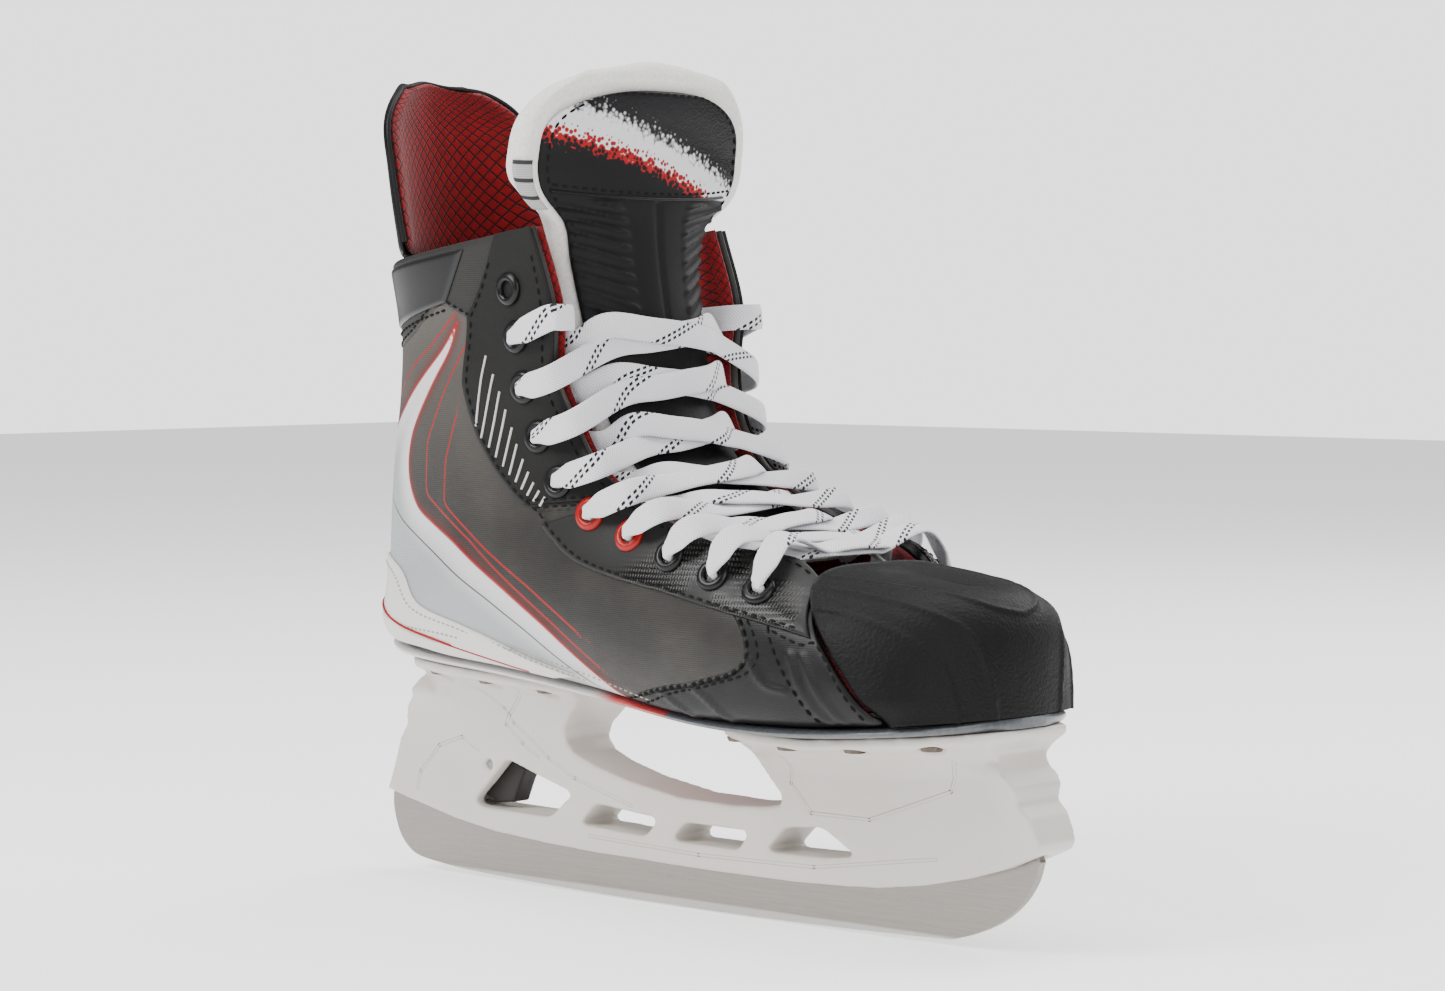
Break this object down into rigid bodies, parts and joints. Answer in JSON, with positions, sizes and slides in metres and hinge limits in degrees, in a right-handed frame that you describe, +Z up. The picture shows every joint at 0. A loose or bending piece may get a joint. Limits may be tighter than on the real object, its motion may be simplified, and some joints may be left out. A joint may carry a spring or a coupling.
{
  "type": "ice hockey skate",
  "caption": "Right ice hockey skate: stiff laced boot with flexing tongue and tendon guard, riveted blade holder, and a steel runner released by a trigger.",
  "frame": {"origin": "middle of the bounding box at the ice, under the runner's sharpened edge", "axes": "+X to the toe, +Y to the inner (medial) side of the right foot, +Z up"},
  "size_m": [0.2947, 0.1106, 0.2788],
  "materials": {
    "shell_grey": "woven dark grey synthetic skin with a soft sheen",
    "facing_black": "black synthetic leather with stitched edges",
    "collar_black": "black synthetic leather",
    "tongue_black": "moulded black vinyl",
    "felt_white": "thick off-white felt",
    "red_lining": "deep red microfibre lining with a black mesh grid",
    "pad_foam": "closed-cell foam",
    "footbed_foam": "moulded foam with a fabric face",
    "board_fibre": "fibre board",
    "toe_plastic": "pebbled black moulding",
    "heel_white": "smooth white synthetic leather",
    "sole_dark": "dark composite with a silver rim",
    "holder_white": "satin white nylon moulding",
    "runner_steel": "satin ground stainless steel",
    "pin_steel": "plain steel",
    "trigger_grey": "dark grey nylon",
    "rivet_metal": "copper-plated steel rivet",
    "eyelet_red": "glossy red enamel",
    "eyelet_black": "glossy black enamel",
    "lace_white": "flat woven polyester with black tracers"
  },
  "bodies": {
    "boot": {"ankle_pad_lateral": "pad_foam", "ankle_pad_medial": "pad_foam", "blade_holder": "holder_white", "collar_patch": "collar_black", "eyelet_lateral_01": "eyelet_black", "eyelet_lateral_02": "eyelet_black", "eyelet_lateral_03": "eyelet_black", "eyelet_lateral_04": "eyelet_black", "eyelet_lateral_05": "eyelet_black", "eyelet_lateral_06": "eyelet_red", "eyelet_lateral_07": "eyelet_red", "eyelet_lateral_08": "eyelet_black", "eyelet_lateral_09": "eyelet_black", "eyelet_lateral_10": "eyelet_black", "eyelet_medial_01": "eyelet_black", "eyelet_medial_02": "eyelet_black", "eyelet_medial_03": "eyelet_black", "eyelet_medial_04": "eyelet_black", "eyelet_medial_05": "eyelet_black", "eyelet_medial_06": "eyelet_red", "eyelet_medial_07": "eyelet_red", "eyelet_medial_08": "eyelet_black", "eyelet_medial_09": "eyelet_black", "eyelet_medial_10": "eyelet_black", "facing_lateral": "facing_black", "facing_medial": "facing_black", "footbed": "footbed_foam", "heel_wrap": "heel_white", "insole_board": "board_fibre", "lace": "lace_white", "liner_lateral": "red_lining", "liner_medial": "red_lining", "outsole": "sole_dark", "quarter_lateral": "shell_grey", "quarter_medial": "shell_grey", "rivet_front_lateral_1": "rivet_metal", "rivet_front_lateral_2": "rivet_metal", "rivet_front_lateral_3": "rivet_metal", "rivet_front_lateral_4": "rivet_metal", "rivet_front_medial_1": "rivet_metal", "rivet_front_medial_2": "rivet_metal", "rivet_front_medial_3": "rivet_metal", "rivet_front_medial_4": "rivet_metal", "rivet_rear_lateral_1": "rivet_metal", "rivet_rear_lateral_2": "rivet_metal", "rivet_rear_lateral_3": "rivet_metal", "rivet_rear_medial_1": "rivet_metal", "rivet_rear_medial_2": "rivet_metal", "rivet_rear_medial_3": "rivet_metal", "toe_cap": "toe_plastic", "tongue_cover_lower": "tongue_black", "tongue_felt_lower": "felt_white", "trigger_pin": "pin_steel", "trigger_spring": "pin_steel"},
    "steel": {"steel_runner": "runner_steel"},
    "trigger": {"release_trigger": "trigger_grey"},
    "tongue_top": {"tongue_felt_upper": "felt_white", "tongue_cover_upper": "tongue_black"},
    "guard": {"tendon_guard": "collar_black", "tendon_guard_lining": "red_lining"}
  },
  "joints": [
    {"name": "runner_release", "type": "hinge", "parent": "boot", "child": "steel", "pos_m": [0.1384, 0, 0.032], "axis": [0, -1, 0], "range_deg": [0, 5]},
    {"name": "trigger_pull", "type": "hinge", "parent": "boot", "child": "trigger", "pos_m": [-0.0906, 0, 0.0412], "axis": [0, 1, 0], "range_deg": [0, 9], "stiffness_Nm_per_rad": 0.5},
    {"name": "tongue_flex", "type": "hinge", "parent": "boot", "child": "tongue_top", "pos_m": [-0.0156, 0, 0.203], "axis": [0, 1, 0], "range_deg": [0, 35]},
    {"name": "tendon_guard_flex", "type": "hinge", "parent": "boot", "child": "guard", "pos_m": [-0.1306, 0, 0.2132], "axis": [0, -1, 0], "range_deg": [0, 25], "stiffness_Nm_per_rad": 1.5}
  ]
}
